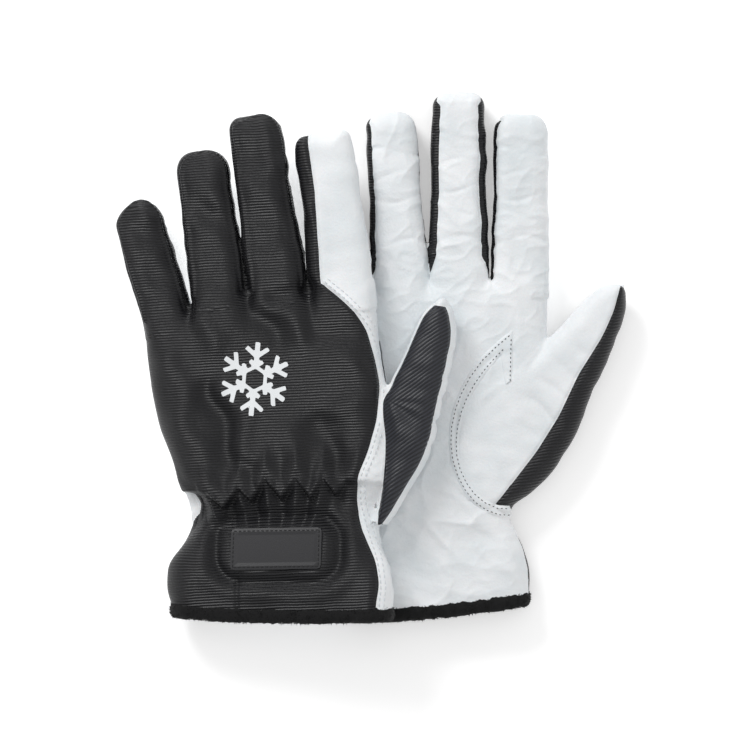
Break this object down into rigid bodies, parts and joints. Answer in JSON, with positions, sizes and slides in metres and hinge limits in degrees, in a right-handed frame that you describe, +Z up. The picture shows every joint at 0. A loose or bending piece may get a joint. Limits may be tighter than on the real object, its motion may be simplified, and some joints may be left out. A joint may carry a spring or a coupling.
{
  "type": "pair of cold handling gloves",
  "caption": "Pair of lined cold-handling gloves, one laid across the other, with leather palms, ribbed fabric backs, leaf thumbs and wide cuffs.",
  "frame": {"origin": "on the table plane, below the centre of the pair's outline", "axes": "+Z up from the table, +Y toward the fingertips, +X toward the thumb side of both gloves"},
  "size_m": [0.2554, 0.266, 0.0429],
  "materials": {
    "leather": "fine matt grain, soft",
    "back_fabric": "ribbed knit, matt",
    "thumb_fabric": "ribbed knit, matt",
    "side_fabric": "plain knit, matt",
    "pile_lining": "deep soft pile",
    "pile_trim": "deep soft pile",
    "elastic": "covered elastic, matt",
    "label_rubber": "satin moulded rubber",
    "print_ink": "printed, slightly reflective"
  },
  "bodies": {
    "right_hand": {"right_palm_leather": "leather", "right_back_fabric": "back_fabric", "right_hand_lining": "pile_lining", "right_wrist_elastic": "elastic", "right_hem_pile_trim": "pile_trim", "right_wrist_label": "label_rubber", "right_snowflake_print": "print_ink", "right_thumb_seam_band": "leather", "right_little_front": "leather", "right_little_sides": "side_fabric", "right_little_back": "back_fabric", "right_little_lining": "pile_lining"},
    "left_hand": {"left_palm_leather": "leather", "left_back_fabric": "back_fabric", "left_hand_lining": "pile_lining", "left_wrist_elastic": "elastic", "left_hem_pile_trim": "pile_trim", "left_wrist_label": "label_rubber", "left_snowflake_print": "print_ink", "left_thumb_seam_band": "leather"},
    "right_index": {"right_index_leather": "leather", "right_index_side": "side_fabric", "right_index_lining": "pile_lining"},
    "right_middle": {"right_middle_front": "leather", "right_middle_sides": "side_fabric", "right_middle_back": "back_fabric", "right_middle_lining": "pile_lining"},
    "right_ring": {"right_ring_front": "leather", "right_ring_sides": "side_fabric", "right_ring_back": "back_fabric", "right_ring_lining": "pile_lining"},
    "right_thumb": {"right_thumb_leather": "leather", "right_thumb_back": "thumb_fabric", "right_thumb_lining": "pile_lining"},
    "left_index": {"left_index_leather": "leather", "left_index_side": "side_fabric", "left_index_lining": "pile_lining"},
    "left_middle": {"left_middle_front": "leather", "left_middle_sides": "side_fabric", "left_middle_back": "back_fabric", "left_middle_lining": "pile_lining"},
    "left_ring": {"left_ring_front": "leather", "left_ring_sides": "side_fabric", "left_ring_back": "back_fabric", "left_ring_lining": "pile_lining"},
    "left_little": {"left_little_front": "leather", "left_little_sides": "side_fabric", "left_little_back": "back_fabric", "left_little_lining": "pile_lining"},
    "left_thumb": {"left_thumb_leather": "leather", "left_thumb_back": "thumb_fabric", "left_thumb_lining": "pile_lining"}
  },
  "joints": [
    {"name": "right_index_bend", "type": "hinge", "parent": "right_hand", "child": "right_index", "pos_m": [0.07494, 0.061, 0.0135], "axis": [1, 0, 0], "range_deg": [0, 75]},
    {"name": "right_middle_bend", "type": "hinge", "parent": "right_hand", "child": "right_middle", "pos_m": [0.04344, 0.06, 0.0135], "axis": [1, 0, 0], "range_deg": [0, 75]},
    {"name": "right_ring_bend", "type": "hinge", "parent": "right_hand", "child": "right_ring", "pos_m": [0.01333, 0.05898, 0.0135], "axis": [0.9979, 0.0645, 0], "range_deg": [0, 75]},
    {"name": "right_thumb_fold", "type": "hinge", "parent": "right_hand", "child": "right_thumb", "pos_m": [0.06784, -0.0472, 0.015], "axis": [0.1097, -0.994, 0], "range_deg": [0, 50]},
    {"name": "left_glove_lift", "type": "slide", "parent": "right_hand", "child": "left_hand", "axis": [0, 0, 1], "range_m": [0, 0.12]},
    {"name": "left_index_bend", "type": "hinge", "parent": "left_hand", "child": "left_index", "pos_m": [-0.0142, 0.05289, 0.02704], "axis": [-0.9721, -0.1392, -0.189], "range_deg": [0, 60]},
    {"name": "left_middle_bend", "type": "hinge", "parent": "left_hand", "child": "left_middle", "pos_m": [-0.04954, 0.05689, 0.02017], "axis": [-0.9721, -0.1392, -0.189], "range_deg": [0, 60]},
    {"name": "left_ring_bend", "type": "hinge", "parent": "left_hand", "child": "left_ring", "pos_m": [-0.07867, 0.0549, 0.0145], "axis": [-0.9723, -0.1374, -0.189], "range_deg": [0, 60]},
    {"name": "left_little_bend", "type": "hinge", "parent": "left_hand", "child": "left_little", "pos_m": [-0.1086, 0.04258, 0.00869], "axis": [-0.9445, -0.2723, -0.1836], "range_deg": [0, 60]},
    {"name": "left_thumb_fold", "type": "hinge", "parent": "left_hand", "child": "left_thumb", "pos_m": [0.00516, -0.0495, 0.02927], "axis": [0, 1, 0], "range_deg": [0, 50]}
  ],
  "couplings": [
    {"joint": "left_index_bend", "follows": "left_glove_lift", "rad_per_m": 8.7},
    {"joint": "left_middle_bend", "follows": "left_glove_lift", "rad_per_m": 8.7},
    {"joint": "left_ring_bend", "follows": "left_glove_lift", "rad_per_m": 8.7},
    {"joint": "left_little_bend", "follows": "left_glove_lift", "rad_per_m": 8.7},
    {"joint": "left_thumb_fold", "follows": "left_glove_lift", "rad_per_m": 7.2}
  ]
}
